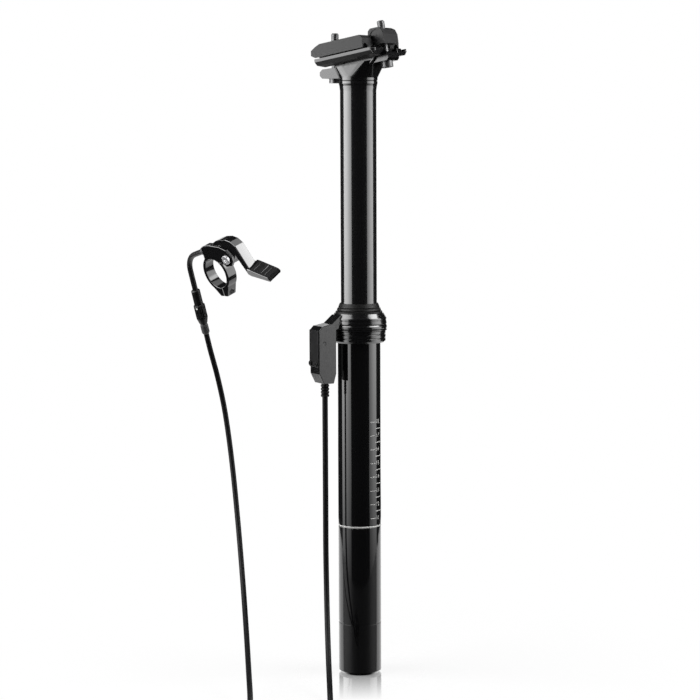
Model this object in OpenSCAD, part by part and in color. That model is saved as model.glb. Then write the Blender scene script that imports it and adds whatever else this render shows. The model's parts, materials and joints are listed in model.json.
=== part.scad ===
// Dropper seatpost with a cable actuator at its collar and a handlebar remote.
// Millimetres. +Z runs up the post, -X is the front of the bicycle, and the
// origin is the centre of the foot that the post stands on.

/* [Post] */
// Outside diameter of the outer tube
post_d = 30.9; // [30:0.1:34.9]
// Outside diameter of the sliding stanchion
stanchion_d = 26; // [24:0.1:26.5]
// Wall of the stanchion
stanchion_wall = 1.5; // [1.2:0.1:2.5]
// Length of the outer tube with its foot, up to the collar
insert_len = 242; // [200:1:300]
// Height of the closed foot at the lower end
tail_h = 37; // [30:1:50]
// Travel of the stanchion
travel = 125; // [75:5:135]
// Length of stanchion that stays above the wiper when it is lowered
head_clear = 26; // [16:1:60]
// Height of the line that must stay inside the seat tube
mark_height = 109; // [90:1:160]

/* [Collar] */
// Largest diameter of the ribbed collar nut
collar_d = 40.4; // [39:0.1:44]
// Height of the collar nut
collar_h = 13; // [11:0.5:20]
// Height of the housing ring above it
ring_h = 8; // [7:0.5:12]
// Height of the wiper above the housing ring
wiper_h = 7; // [5:0.5:10]
// Thickness of the plain bearings
bushing_t = 0.8; // [0.6:0.1:1]
// Length of the plain bearings
bushing_h = 22; // [12:1:30]

/* [Actuator] */
// Direction of the actuator round the post
actuator_turn = 240; // [0:1:359]
// Distance of the cable from the post's axis
cable_offset = 28.2; // [27:0.1:32]
// Radial depth of the actuator box
box_depth = 13.4; // [12:0.1:18]
// Width of the actuator box
box_w = 14; // [12:0.5:20]
// Height of the actuator box
box_h = 41; // [36:1:60]
// Wall of the actuator box
box_wall = 1.8; // [1.4:0.1:2.2]

/* [Saddle clamp] */
// Diameter of the saddle rails
rail_d = 7; // [6:0.1:8]
// Distance between the saddle rails
rail_gap = 44; // [42:0.5:48]
// Length of rail that the clamp grips
rail_grip = 46; // [42:1:60]
// Angle of the rails in the photographed setting
clamp_tilt = 10; // [0:1:14]
// Distance of each clamp bolt from the middle
bolt_reach = 20; // [19.5:0.5:22]
// Diameter of the clamp bolts
bolt_d = 5; // [4:0.5:5]
// Diameter of the barrel nuts
nut_d = 8.4; // [8:0.1:9]

/* [Remote] */
// Diameter of the handlebar
bar_d = 22.2; // [20:0.1:24]
// Width of the clamp band along the bar
band_w = 8; // [7:0.5:12]
// Thickness of the clamp band
band_t = 2.6; // [2:0.1:4]
// Width of the thumb paddle
paddle_w = 12; // [10:0.5:20]
// Diameter of the bent guide tube
noodle_d = 4; // [3:0.1:4.4]
// Bend radius of the guide tube
noodle_bend = 16; // [10:0.5:18]

/* [Cable] */
// Diameter of the cable housing
cable_d = 4; // [3.6:0.1:4.1]
// Full turns in each layer of the coil
coil_turns = 2; // [1:1:2]
// Outer radius of the coil's middle line
coil_r = 27; // [26:0.5:30]

/* [Hidden] */
$fn = 48;

// Fits
slide_gap = 0.05;   // running fit of round pieces
free_gap = 0.3;     // clearance of pieces that pass or rock
eps = 0.01;

// Levels up the post
post_r = post_d / 2;
stanchion_r = stanchion_d / 2;
bore_r = stanchion_r + slide_gap + bushing_t;
z_nut = insert_len;
z_ring = z_nut + collar_h;
z_wiper = z_ring + ring_h;
z_lip = z_wiper + wiper_h;
z_tube_top = z_ring + 4;
z_neck = z_lip + travel + head_clear;
z_seam = z_neck + 7;
z_pivot = z_neck + 37;
groove_h = 1.6;

// Inside the post
floor_h = 12;
rod_r = 4;
piston_r = 8.2;
piston_h = 12;
cyl_r = 10.4;
cyl_wall = 1.8;
seal_h = 12;
stanchion_in = stanchion_r - stanchion_wall;
spigot_h = 8;
z_stanchion = tail_h + spigot_h + travel + 3;
z_piston = z_stanchion + 85;
z_cyl_top = z_piston + piston_h + travel + 8;
z_spigot = z_cyl_top + 1;
key_r = 1.35;
key_at = stanchion_r + 0.2;
key_h = 12;
key_z = z_stanchion + 4;
stub_r = 3;
stub_z = 5;
nut_h = 5;

// Colours
gloss_black = [0.05, 0.05, 0.055];
satin_black = [0.09, 0.09, 0.10];
clamp_grey = [0.36, 0.36, 0.37];
rubber_black = [0.10, 0.10, 0.10];
steel = [0.75, 0.75, 0.77];
brass = [0.75, 0.62, 0.32];
sleeve_grey = [0.34, 0.34, 0.35];

// A ring of revolution, between two radii
module ring(r_in, r_out, z, h) {
    translate([0, 0, z]) difference() {
        cylinder(r = r_out, h = h);
        translate([0, 0, -1]) cylinder(r = r_in, h = h + 2);
    }
}

// A cylinder across the bicycle, centred on the middle plane
module cross_cylinder(r, w) {
    rotate([90, 0, 0]) cylinder(r = r, h = w, center = true);
}

// A groove with a round floor, cut round the post
module ring_groove(r, z, depth) {
    rotate_extrude() translate([r, z]) circle(r = depth, $fn = 16);
}

module outer_tube() {
    mark_d = 0.25;
    color(gloss_black) difference() {
        translate([0, 0, tail_h]) cylinder(r = post_r, h = z_tube_top - tail_h, $fn = 96);
        translate([0, 0, tail_h - 1]) cylinder(r = bore_r, h = z_tube_top - tail_h + 2);
        for (z = [tail_h - eps, mark_height - groove_h / 2])
            ring(post_r - mark_d, post_r + 1, z, groove_h);
        for (i = [0 : 2])
            rotate(120 * i) translate([key_at, 0, tail_h - 1])
                cylinder(r = key_r + 2 * slide_gap, h = z_tube_top - bushing_h - tail_h);
    }
}

module tail_cap() {
    chamfer = 2;
    spigot_r = bore_r - slide_gap;
    color(gloss_black) difference() {
        union() {
            rotate_extrude($fn = 96) polygon([
                [0, 0], [post_r - chamfer, 0], [post_r, chamfer],
                [post_r, tail_h], [0, tail_h]
            ]);
            translate([0, 0, tail_h - eps]) cylinder(r = spigot_r, h = spigot_h + eps);
        }
        translate([0, 0, floor_h]) cylinder(r = spigot_r - 2, h = tail_h + spigot_h);
        translate([0, 0, stub_z]) cylinder(r = stub_r + slide_gap, h = floor_h);
    }
}

module cartridge_rod() {
    rod_top = z_piston + piston_h;
    color(steel) {
        translate([0, 0, floor_h + eps]) cylinder(r = rod_r, h = rod_top - floor_h);
        translate([0, 0, stub_z + slide_gap]) cylinder(r = stub_r, h = floor_h);
    }
}

module rod_nut() {
    color(steel) difference() {
        translate([0, 0, floor_h]) cylinder(r = rod_r + 4, h = nut_h, $fn = 6);
        translate([0, 0, floor_h - 1]) cylinder(r = rod_r + slide_gap, h = nut_h + 2);
    }
}

module piston() {
    color(brass) difference() {
        ring(rod_r + slide_gap, piston_r, z_piston, piston_h);
        ring_groove(piston_r, z_piston + piston_h / 2, 1.2);
    }
}

module cartridge_tube() {
    z_low = z_stanchion + 6;
    color(steel) difference() {
        translate([0, 0, z_low]) cylinder(r = cyl_r, h = z_cyl_top - z_low);
        translate([0, 0, z_low - 1]) cylinder(r = cyl_r - cyl_wall, h = z_cyl_top - z_low - 3);
    }
}

module seal_head() {
    z_low = z_stanchion + 6;
    neck_r = cyl_r - cyl_wall - slide_gap;
    color(brass) difference() {
        union() {
            translate([0, 0, z_stanchion + 2]) cylinder(r = stanchion_in - slide_gap, h = 4);
            translate([0, 0, z_low - eps]) cylinder(r = neck_r, h = seal_h);
        }
        translate([0, 0, z_stanchion]) cylinder(r = rod_r + slide_gap, h = seal_h + 10);
    }
}

module stanchion() {
    flare = 0.9;
    color(gloss_black) difference() {
        rotate_extrude($fn = 96) polygon([
            [stanchion_in, z_stanchion], [stanchion_r - 0.5, z_stanchion],
            [stanchion_r, z_stanchion + 0.5], [stanchion_r, z_neck],
            [stanchion_r + flare / 2, z_neck + 3.5], [stanchion_r + flare, z_neck + 5],
            [stanchion_r + flare, z_seam - 0.4], [stanchion_r + flare - 0.4, z_seam],
            [stanchion_in, z_seam]
        ]);
        for (i = [0 : 2])
            rotate(120 * i) translate([key_at, 0, key_z])
                cylinder(r = key_r + slide_gap, h = key_h);
    }
}

module guide_keys() {
    color(brass) for (i = [0 : 2])
        rotate(120 * i) translate([key_at, 0, key_z + slide_gap])
            cylinder(r = key_r, h = key_h - 2 * slide_gap);
}

module lower_bushing() {
    color(brass)
        ring(stanchion_r + slide_gap, bore_r - slide_gap, key_z + key_h + 4, bushing_h);
}

module upper_bushing() {
    color(brass)
        ring(stanchion_r + slide_gap, bore_r - slide_gap, z_tube_top - bushing_h, bushing_h);
}

module collar_nut() {
    foot_r = post_r + 2.2;
    body_r = collar_d / 2 - 1;
    lip_r = collar_d / 2;
    grip_r = collar_d / 2 - 0.15;
    waist = 0.5;
    lip_z = z_ring - 3.6;
    color(satin_black) difference() {
        rotate_extrude($fn = 96) polygon([
            [post_r + slide_gap, z_nut], [foot_r, z_nut], [body_r, z_nut + 1.3],
            [body_r, lip_z - 1], [lip_r, lip_z - 0.5], [lip_r, lip_z],
            [grip_r - waist, lip_z + 0.3], [grip_r, lip_z + 1.2], [grip_r, z_ring - 0.9],
            [grip_r - waist, z_ring], [post_r + slide_gap, z_ring]
        ]);
        for (z = [z_nut + 3.4, z_nut + 6.2])
            ring_groove(body_r, z, 0.5);
    }
}

// Places its children at the actuator, radial along +X
module at_actuator() {
    rotate(actuator_turn) children();
}

box_in = cable_offset + 1.2 - box_depth / 2;
box_out = box_in + box_depth;
z_box_top = z_ring;
z_box = z_box_top - box_h;
cavity_w = box_w - 2 * box_wall;
pin_z = z_box_top - 12;
pin_x = cable_offset + 4;
pin_r = 1;
arm_len = 7;
arm_rest = 15;
arm_t = 2.4;
wire_r = 1;
release_r = 0.9;
release_x = box_in + box_wall + 1.2;
release_top = pin_z + 0.2;
release_len = 11;
chamber_low = pin_z - 4.5;
chamber_top = z_box_top - 4;
cover_low = z_box + 12;
cover_h = chamber_top + 1.4 - cover_low;
cover_t = 1.2;
screw_y = 4;

// Radial outline of the actuator box, with a tapered foot
module box_outline() {
    foot = 7;
    polygon([
        [box_in + 2, z_box], [box_out - 3.5, z_box], [box_out, z_box + foot],
        [box_out, z_box_top - 2.5], [box_out - 2.5, z_box_top],
        [box_in, z_box_top], [box_in, z_box + foot]
    ]);
}

// Turns a radial outline into a slab across the actuator
module radial_slab(w) {
    rotate([90, 0, 0]) linear_extrude(height = w, center = true) children();
}

module actuator_housing() {
    ring_r = collar_d / 2 - 0.2;
    arm_w = box_w - 2;
    top_z = z_wiper - 0.8;
    seat_r = stanchion_r + 3.4;
    color(satin_black) difference() {
        union() {
            rotate_extrude($fn = 96) polygon([
                [post_r + slide_gap, z_ring], [ring_r - 0.4, z_ring], [ring_r, z_ring + 0.8],
                [ring_r - 0.5, z_ring + 3.4], [ring_r - 0.1, z_ring + 4.4],
                [ring_r - 1.2, z_wiper - 2], [ring_r - 2.4, z_wiper],
                [post_r + slide_gap, z_wiper]
            ]);
            at_actuator() intersection() {
                radial_slab(arm_w) polygon([
                    [post_r + 1, z_ring], [box_in + 1, z_ring - 4], [box_out - 3, z_ring - 4],
                    [box_out - 3, z_ring], [box_in + 3, z_ring + 1.5], [ring_r - 1, top_z],
                    [post_r + 1, top_z]
                ]);
                difference() {
                    translate([0, -arm_w, z_ring - 10]) cube([box_out, 2 * arm_w, 30]);
                    translate([0, 0, z_ring - 11])
                        cylinder(r = collar_d / 2 + free_gap, h = 11);
                }
            }
            at_actuator() radial_slab(box_w) box_outline();
        }
        translate([0, 0, z_ring - 1]) cylinder(r = post_r + slide_gap, h = 5 + eps);
        translate([0, 0, z_ring - 1]) cylinder(r = stanchion_r + free_gap, h = ring_h + 2);
        translate([0, 0, z_tube_top - eps]) cylinder(r = seat_r, h = ring_h);
        at_actuator() {
            translate([box_in + box_wall, -cavity_w / 2, chamber_low])
                cube([box_depth, cavity_w, chamber_top - chamber_low]);
            translate([cable_offset, 0, z_box - 1]) cylinder(r = wire_r, h = box_h - 8);
            translate([release_x, 0, release_top - release_len - 5])
                cylinder(r = release_r + slide_gap, h = release_len + 2);
            translate([pin_x, 0, pin_z]) cross_cylinder(pin_r + slide_gap, box_w + 2);
        }
    }
}

module actuator_cover() {
    color(satin_black) at_actuator() difference() {
        translate([box_out, -box_w / 2 + 0.5, cover_low]) cube([cover_t, box_w - 1, cover_h]);
        for (y = [-screw_y, screw_y])
            translate([box_out - 1, y, cover_low + 2.5]) rotate([0, 90, 0])
                cylinder(r = 1, h = 4);
    }
}

module cover_screws() {
    color(satin_black) at_actuator() for (y = [-screw_y, screw_y])
        translate([box_out + cover_t, y, cover_low + 2.5]) rotate([0, 90, 0]) difference() {
            cylinder(r = 1.7, h = 1);
            translate([0, 0, 0.4]) cylinder(r = 0.9, h = 2, $fn = 6);
        }
}

module actuator_pin() {
    color(satin_black) at_actuator() translate([pin_x, 0, pin_z]) cross_cylinder(pin_r, box_w);
}

// The inner wire pulls the arm down and its tip presses the release pin
module actuator_lever() {
    lever_w = 5;
    hub_r = 2;
    color(steel) at_actuator() difference() {
        radial_slab(lever_w) translate([pin_x, pin_z]) union() {
            circle(r = hub_r);
            rotate(-arm_rest) translate([-arm_len, -arm_t / 2]) square([arm_len, arm_t]);
        }
        translate([pin_x, 0, pin_z]) cross_cylinder(pin_r + slide_gap, 20);
    }
}

module release_pin() {
    color(brass) at_actuator() translate([release_x, 0, release_top - release_len])
        cylinder(r = release_r, h = release_len);
}

module wiper_seal() {
    seat_r = stanchion_r + 3.4 - slide_gap;
    lip_in = stanchion_r + slide_gap;
    color(rubber_black) rotate_extrude($fn = 96) polygon([
        [lip_in + 0.4, z_tube_top], [seat_r, z_tube_top], [seat_r, z_wiper],
        [seat_r + 0.5, z_wiper], [seat_r + 0.4, z_wiper + 1.2], [seat_r - 0.8, z_wiper + 1.7],
        [seat_r - 0.5, z_wiper + 2.2], [seat_r - 0.9, z_wiper + 3.4],
        [seat_r - 1.7, z_wiper + 3.8], [seat_r - 1.5, z_wiper + 4.3],
        [lip_in + 0.7, z_lip], [lip_in, z_lip], [lip_in, z_lip - 1.5],
        [lip_in + 0.4, z_lip - 2.5]
    ]);
}

boot_h = 10;
module cable_boot() {
    boot_r = cable_d / 2 + 1;
    color(rubber_black) at_actuator() translate([cable_offset, 0, z_box - boot_h]) difference() {
        rotate_extrude() polygon(concat(
            [[0, 0], [boot_r - 0.5, 0]],
            [for (i = [0 : 3]) for (p = [[0, 0.4], [0, 1.5], [-0.6, 1.9]])
                [boot_r + p[0], i * 2.4 + p[1]]],
            [[boot_r - 0.4, boot_h], [0, boot_h]]
        ));
        translate([0, 0, -1]) cylinder(r = 0.8, h = boot_h + 2);
    }
}

// Saddle clamp. Heights are measured from the axis that the clamp tilts on.
bolt_r = bolt_d / 2;
nut_r = nut_d / 2;
rocker_r = 24;
rail_y = rail_gap / 2;
rail_z = -11;
split_gap = 0.8;
cradle_top = rail_z - split_gap / 2;
clamp_low = rail_z + split_gap / 2;
clamp_top = -1.6;
side_y = rail_y + rail_d / 2 + 0.7;
head_w = 26;
lug_w = 16;
seam = z_seam - z_pivot;
front_nut_z = -4.6;
rear_nut_z = -2.6;
trough_y = 10.6;
cheek_top = cradle_top - 7;
front_lug = [-28.3, -21.8];
rear_lug = [-20.5, -14.3];
washer_h = 1;
bolt_head_h = 3.2;
bolt_head_r = bolt_d / 2 + 1.7;
front_x = -bolt_reach * cos(clamp_tilt) - front_nut_z * sin(clamp_tilt);
front_top = 3.8;
rear_top = 8.4;
seat_r = 4;

module at_pivot() {
    translate([0, 0, z_pivot]) children();
}

module at_clamp() {
    at_pivot() rotate([0, -clamp_tilt, 0]) children();
}

// Turns a side outline into a slab across the bicycle
module side_slab(w, y = 0) {
    translate([0, y, 0]) rotate([90, 0, 0]) linear_extrude(height = w, center = true) children();
}

module head() {
    foot_r = stanchion_r + 0.9;
    lug_end = 8;
    spigot_r = stanchion_in - slide_gap;
    flare = [[-17, 10], [-14.5, 12.6], [15, 12.6], [18, 10]];
    color(satin_black) difference() {
        union() {
            translate([0, 0, z_spigot]) cylinder(r = spigot_r, h = z_seam - z_spigot + eps);
            at_pivot() {
                rotate_extrude($fn = 96) polygon([
                    [0, seam], [foot_r - 0.4, seam], [foot_r, seam + 0.4],
                    [foot_r, seam + 3], [0, seam + 3]
                ]);
                difference() {
                    hull() {
                        translate([0, 0, seam + 2]) cylinder(r = foot_r - 0.05, h = 1, $fn = 64);
                        translate([0, 0, seam + 16]) linear_extrude(height = 6) polygon(concat(
                            flare, [for (i = [3 : -1 : 0]) [flare[i][0], -flare[i][1]]]
                        ));
                    }
                    rotate([0, -clamp_tilt, 0]) translate([-60, -60, cheek_top]) cube(120);
                }
                side_slab(lug_w) polygon([
                    [-8, front_lug[0]], [front_x - 6, front_lug[0]],
                    [front_x - lug_end, front_lug[0] + 2], [front_x - lug_end, front_lug[1] - 2],
                    [front_x - 6, front_lug[1]], [-8, front_lug[1] + 2]
                ]);
                rotate([0, -clamp_tilt, 0]) side_slab(lug_w) polygon([
                    [8, rear_lug[0] - 5], [bolt_reach - 6, rear_lug[0]],
                    [bolt_reach + 4.5, rear_lug[0]], [bolt_reach + 6, rear_lug[0] + 1.5],
                    [bolt_reach + 6, rear_lug[1] - 1.5], [bolt_reach + 4.5, rear_lug[1]],
                    [8, rear_lug[1]]
                ]);
            }
        }
        at_pivot() cross_cylinder(rocker_r + free_gap, 2 * trough_y);
        translate([front_x, 0, z_pivot + front_lug[0] - 1])
            cylinder(r = bolt_r + 0.6, h = 20);
        at_clamp() translate([bolt_reach, 0, rear_lug[0] - 6])
            cylinder(r = bolt_r + 0.1, h = 30);
        at_clamp() translate([bolt_reach, 0, rear_lug[0] - 8])
            cylinder(r = bolt_head_r + free_gap, h = 8);
        at_front_bolt() cross_cylinder(seat_r + slide_gap, lug_w - 3);
        at_front_bolt() translate([0, 0, -6]) cylinder(r = bolt_head_r + free_gap, h = 6.4);
    }
}

// Socket screw with its head down, threads up; z runs along the shank from the washer
module clamp_bolt(shank) {
    color(steel) difference() {
        union() {
            translate([0, 0, -washer_h - bolt_head_h]) cylinder(r = bolt_head_r, h = bolt_head_h);
            translate([0, 0, -washer_h - eps]) cylinder(r = bolt_r, h = shank - 0.6);
            translate([0, 0, shank - washer_h - 0.7]) cylinder(r1 = bolt_r, r2 = bolt_r - 0.6, h = 0.7);
        }
        translate([0, 0, -washer_h - bolt_head_h - 1]) cylinder(r = bolt_r * 0.8, h = 3.2, $fn = 6);
    }
}

module bolt_washer() {
    color(steel) translate([0, 0, -washer_h]) ring(bolt_r + slide_gap, bolt_head_r, 0, washer_h);
}

// The front bolt swings on its seat as the clamp tilts
module at_front_bolt() {
    translate([front_x, 0, z_pivot + front_lug[0]]) children();
}

module at_rear_bolt() {
    at_clamp() translate([bolt_reach, 0, rear_lug[0]]) children();
}

module front_bolt() {
    at_front_bolt() translate([0, 0, washer_h]) clamp_bolt(front_top - front_lug[0]);
}

module front_washer() {
    color(steel) at_front_bolt() difference() {
        cross_cylinder(seat_r, lug_w - 3.4);
        translate([-20, -20, -40]) cube(40);
        translate([0, 0, -1]) cylinder(r = bolt_r + slide_gap, h = 20);
    }
}

module rear_bolt() {
    at_rear_bolt() clamp_bolt(rear_top - rear_lug[0] + washer_h);
}

module rear_washer() {
    at_rear_bolt() bolt_washer();
}

module rail_grooves() {
    for (y = [-rail_y, rail_y])
        translate([0, y, rail_z]) rotate([0, 90, 0])
            cylinder(r = rail_d / 2, h = 3 * rail_grip, center = true);
}

module lower_cradle() {
    wing_in = trough_y - free_gap;
    wing_t = 3.2;
    bridge_x = 16;
    notch_y = bolt_r + 0.8;
    color(satin_black) at_clamp() difference() {
        union() {
            intersection() {
                cross_cylinder(rocker_r, 2 * wing_in);
                translate([-50, -50, -50]) cube([100, 100, 50 + cradle_top]);
            }
            for (s = [-1, 1]) rotate([90, 0, 90])
                linear_extrude(height = rail_grip, center = true) polygon([
                    [s * (wing_in + 2), cradle_top], [s * side_y, cradle_top],
                    [s * side_y, cradle_top - 2.2], [s * (side_y - 2.8), cradle_top - 4.6],
                    [s * (wing_in + 2), cradle_top - 5.4]
                ]);
            translate([-bridge_x, -wing_in - 3, cradle_top - wing_t])
                cube([2 * bridge_x, 2 * wing_in + 6, wing_t]);
        }
        rail_grooves();
        for (s = [-1, 1]) translate([s * (bolt_reach + 5), 0, -20])
            cube([2 * (bolt_r + 6.9), 2 * notch_y, 60], center = true);
    }
}

module upper_clamp() {
    half = rail_grip / 2;
    rear = half - 6;
    slab_in = head_w / 2 + 0.5;
    slab_w = side_y - slab_in;
    slot_y = bolt_r + 0.6;
    boss_w = 21;
    bridge_in = bolt_reach - 5.5;
    block_low = clamp_low + 1.8;
    color(clamp_grey) at_clamp() difference() {
        union() {
            for (s = [-1, 1]) side_slab(slab_w, s * (slab_in + slab_w / 2)) polygon([
                [-half + 1, clamp_low], [rear, clamp_low], [rear + 0.8, clamp_top - 2.4],
                [rear - 1.2, clamp_top], [-half + 6, clamp_top], [-half + 2, clamp_top - 1.6],
                [-half - 1.5, clamp_top - 3.6], [-half - 2, clamp_low + 2]
            ]);
            side_slab(2 * slab_in + 1) polygon([
                [-half - 1.5, clamp_low + 1], [-half, clamp_low], [-bridge_in, clamp_low],
                [-bridge_in, clamp_top], [-half + 3, clamp_top], [-half - 1.5, clamp_top - 3.6]
            ]);
            side_slab(2 * slab_in + 1) polygon([
                [rear - 6, block_low], [rear, block_low], [rear, clamp_top], [rear - 6, clamp_top]
            ]);
            side_slab(boss_w) translate([bolt_reach, rear_nut_z]) polygon([
                [-6.2, block_low - rear_nut_z], [6, block_low - rear_nut_z], [6.2, 0.4],
                [4.8, 4], [2, 5.7], [-3.6, 5.7], [-5.6, 4], [-6.2, 0.6]
            ]);
        }
        rail_grooves();
        translate([-bolt_reach, 0, front_nut_z]) cross_cylinder(nut_r + slide_gap, boss_w);
        translate([bolt_reach, 0, rear_nut_z]) cross_cylinder(nut_r + slide_gap, boss_w + 2);
        translate([-bolt_reach, 0, 0]) cube([2 * (bolt_r + 2.6), 2 * slot_y, 60], center = true);
        translate([bolt_reach, 0, 0]) cube([2 * (bolt_r + 1.6), 2 * slot_y, 60], center = true);
    }
}

// Barrel nut lying across the bicycle with the bolt through it
module barrel_nut(lean) {
    nut_w = 20;
    color(satin_black) difference() {
        cross_cylinder(nut_r, nut_w);
        rotate([0, lean, 0]) cylinder(r = bolt_r + 0.45, h = 40, center = true);
    }
}

module front_nut() {
    at_clamp() translate([-bolt_reach, 0, front_nut_z]) barrel_nut(clamp_tilt);
}

module rear_nut() {
    at_clamp() translate([bolt_reach, 0, rear_nut_z]) barrel_nut(0);
}

// Cable route, in a frame turned with the photographed view: x to the right,
// y away from the viewer. Every point is a place chosen by hand.
view_turn = 30;
coil_centre = [-47, -150];
coil_pitch = cable_d + 1;
layer_step = cable_d + 0.8;
tie_t = 0.9;
coil_z = tie_t + free_gap + cable_d / 2;
coil_in = coil_r - coil_turns * coil_pitch;
exit_turn = actuator_turn - view_turn;
post_route = [
    [cable_offset * cos(exit_turn), cable_offset * sin(exit_turn), z_box - boot_h],
    [cable_offset * cos(exit_turn), cable_offset * sin(exit_turn), z_box - boot_h - 20],
    [-24.4, -14.1, 150], [-24.4, -14.1, 120], [-24.4, -14.5, 94], [-24, -18.5, 66],
    [-23.3, -31, 40.5], [-22.3, -51, 20.5], [-21.2, -76, 8], [-20.4, -104, 3.6],
    [-20, -130, 3.2], [coil_centre[0] + coil_r, coil_centre[1] + cable_d, coil_z]
];
remote_route = [
    [coil_centre[0] - coil_r, coil_centre[1] + cable_d, coil_z + layer_step],
    [-74, -130, 8], [-75, -106, 10.5], [-77.5, -74, 18.5], [-81, -34, 35], [-85.5, 8, 62],
    [-90.5, 38, 102], [-95.5, 54, 145], [-100.5, 58.5, 182], [-105.5, 55.2, 209],
    [-110.3, 48.6, 230.3], [-113.1, 43.8, 244.2]
];
steps = 3;

// Point on a smooth curve through the route's points
function curve_at(r, i, t) =
    let (n = len(r) - 1,
         p0 = i > 0 ? r[i - 1] : 2 * r[0] - r[1],
         p1 = r[i],
         p2 = r[i + 1],
         p3 = i + 2 <= n ? r[i + 2] : 2 * r[n] - r[n - 1])
    p1 + 0.5 * t * (p2 - p0 + t * (2 * p0 - 5 * p1 + 4 * p2 - p3 + t * (3 * (p1 - p2) + p3 - p0)));
function smooth(r) = concat(
    [for (i = [0 : len(r) - 2]) for (k = [0 : steps - 1]) curve_at(r, i, k / steps)],
    [r[len(r) - 1]]
);

// The coil winds in on the floor, climbs in half a turn and winds out on top
loop_rings = 24;
coil_angle = coil_turns * 360;
coil_end = 2 * coil_angle + 180;
function coil_radius(a) =
    a < coil_angle ? coil_r - coil_pitch * a / 360
    : a < coil_angle + 180 ? coil_in
    : coil_in + coil_pitch * (a - coil_angle - 180) / 360;
function coil_rise(a) = min(max((a - coil_angle) / 180, 0), 1);
function coil_point(a) = [
    coil_centre[0] + coil_radius(a) * cos(a),
    coil_centre[1] - coil_radius(a) * sin(a),
    coil_z + layer_step * coil_rise(a)
];
coil_route = concat(
    [[coil_centre[0] + coil_r, coil_centre[1] + cable_d, coil_z]],
    [for (a = [0 : 360 / loop_rings : coil_end]) coil_point(a)],
    [[coil_centre[0] - coil_r, coil_centre[1] + cable_d, coil_z + layer_step]]
);

// Tube swept along points; rings are set out from a side vector that no stretch runs along
function unit(v) = v / norm(v);
function tangent(p, i) = unit(p[min(i + 1, len(p) - 1)] - p[max(i - 1, 0)]);
module swept_tube(p, r, sides, side) {
    n = len(p);
    function ring_point(i, k) =
        let (t = i == 0 ? unit(p[1] - p[0]) : tangent(p, i),
             u = unit(cross(t, side)),
             v = cross(t, u))
        p[i] + r * (cos(360 * k / sides) * u + sin(360 * k / sides) * v);
    pts = concat(
        [for (i = [0 : n - 1]) for (k = [0 : sides - 1]) ring_point(i, k)],
        [p[0], p[n - 1]]
    );
    walls = [
        for (i = [0 : n - 2]) for (k = [0 : sides - 1])
            let (a = i * sides + k, b = i * sides + (k + 1) % sides)
            for (f = [[a, b + sides, b], [a, a + sides, b + sides]]) f
    ];
    caps = [
        for (k = [0 : sides - 1])
            let (m = (k + 1) % sides, last = (n - 1) * sides)
            for (f = [[n * sides, k, m], [n * sides + 1, last + m, last + k]]) f
    ];
    polyhedron(points = pts, faces = concat(walls, caps));
}

// Least clear distance between turns, on points half a turn or more apart
coil_gap = min([
    for (i = [0 : len(coil_route) - 1])
        for (j = [i + loop_rings / 2 : len(coil_route) - 1]) norm(coil_route[i] - coil_route[j])
]) - cable_d;
echo(coil_gap = coil_gap);

module cable_post_run() {
    color(rubber_black) rotate(view_turn) swept_tube(smooth(post_route), cable_d / 2, 8, [1, 0, 0]);
}

module cable_remote_run() {
    color(rubber_black) rotate(view_turn) swept_tube(smooth(remote_route), cable_d / 2, 8, [1, 0, 0]);
}

module cable_coil() {
    color(rubber_black) rotate(view_turn) swept_tube(coil_route, cable_d / 2, 6, [0, 0, 1]);
}

// Strap round the four strands on the side of the coil that faces the post
module coil_tie() {
    tie_w = 4;
    r_low = coil_radius(coil_angle - 90) - cable_d / 2 - free_gap;
    r_high = coil_radius(270) + cable_d / 2 + free_gap;
    tie_h = layer_step + cable_d + 2 * free_gap;
    color(satin_black) rotate(view_turn)
        translate([coil_centre[0], coil_centre[1] + (r_low + r_high) / 2, tie_t + tie_h / 2])
        difference() {
            cube([tie_w, r_high - r_low + 2 * tie_t, tie_h + 2 * tie_t], center = true);
            cube([tie_w + 2, r_high - r_low, tie_h], center = true);
        }
}

// Remote. Its own frame has x along the lever, y along the handlebar and z up,
// and it is set where the sleeve's lower end meets the cable.
remote_roll = 21;
remote_turn = -19;
bar_r = bar_d / 2;
band_r = bar_r + band_t;
split_z = 9;
tip_z = -17.6;
screw_z = tip_z + 2.6;
pivot = [19, 12.2];
pivot_r = 2;
bush_r = 3.2;
wire_z = 16.5;
anchor = [11.6, 20];
anchor_r = 1.3;
cheek_t = 2.2;
cheek_y = -band_w / 2;
lever_w = 8;
lever_y = cheek_y + cheek_t + free_gap;
stop_x = -8;
noodle_r = noodle_d / 2;
noodle_slope = 15;
noodle_reach = 16.8;
leg_lean = 7;
leg_len = 15.5;
stem_len = 12;
barrel_len = 11;
cone_len = 4;
sleeve_len = 8.5;
stem_low = -leg_len - stem_len;
barrel_low = stem_low - slide_gap - barrel_len;
cone_low = barrel_low - cone_len;
sleeve_top = cone_low - 2 * slide_gap;
sleeve_low = sleeve_top - sleeve_len;

// Guide tube: its bend's centre, and where its straight leg starts
bend_at = [
    stop_x - noodle_reach * cos(noodle_slope) + noodle_bend * sin(noodle_slope),
    wire_z - noodle_reach * sin(noodle_slope) - noodle_bend * cos(noodle_slope)
];
leg_at = bend_at + noodle_bend * [-cos(leg_lean), sin(leg_lean)];
sleeve_end = leg_at + sleeve_low * [sin(leg_lean), cos(leg_lean)];

function turn_x(v, a) = [v[0], v[1] * cos(a) - v[2] * sin(a), v[1] * sin(a) + v[2] * cos(a)];
function turn_z(v, a) = [v[0] * cos(a) - v[1] * sin(a), v[0] * sin(a) + v[1] * cos(a), v[2]];
cable_end = turn_z(remote_route[len(remote_route) - 1], view_turn);
remote_at = cable_end - turn_z(turn_x([sleeve_end[0], 0, sleeve_end[1]], remote_roll), remote_turn);
echo(remote_at = remote_at);

module at_remote() {
    translate(remote_at) rotate([remote_roll, 0, remote_turn]) children();
}

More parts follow.
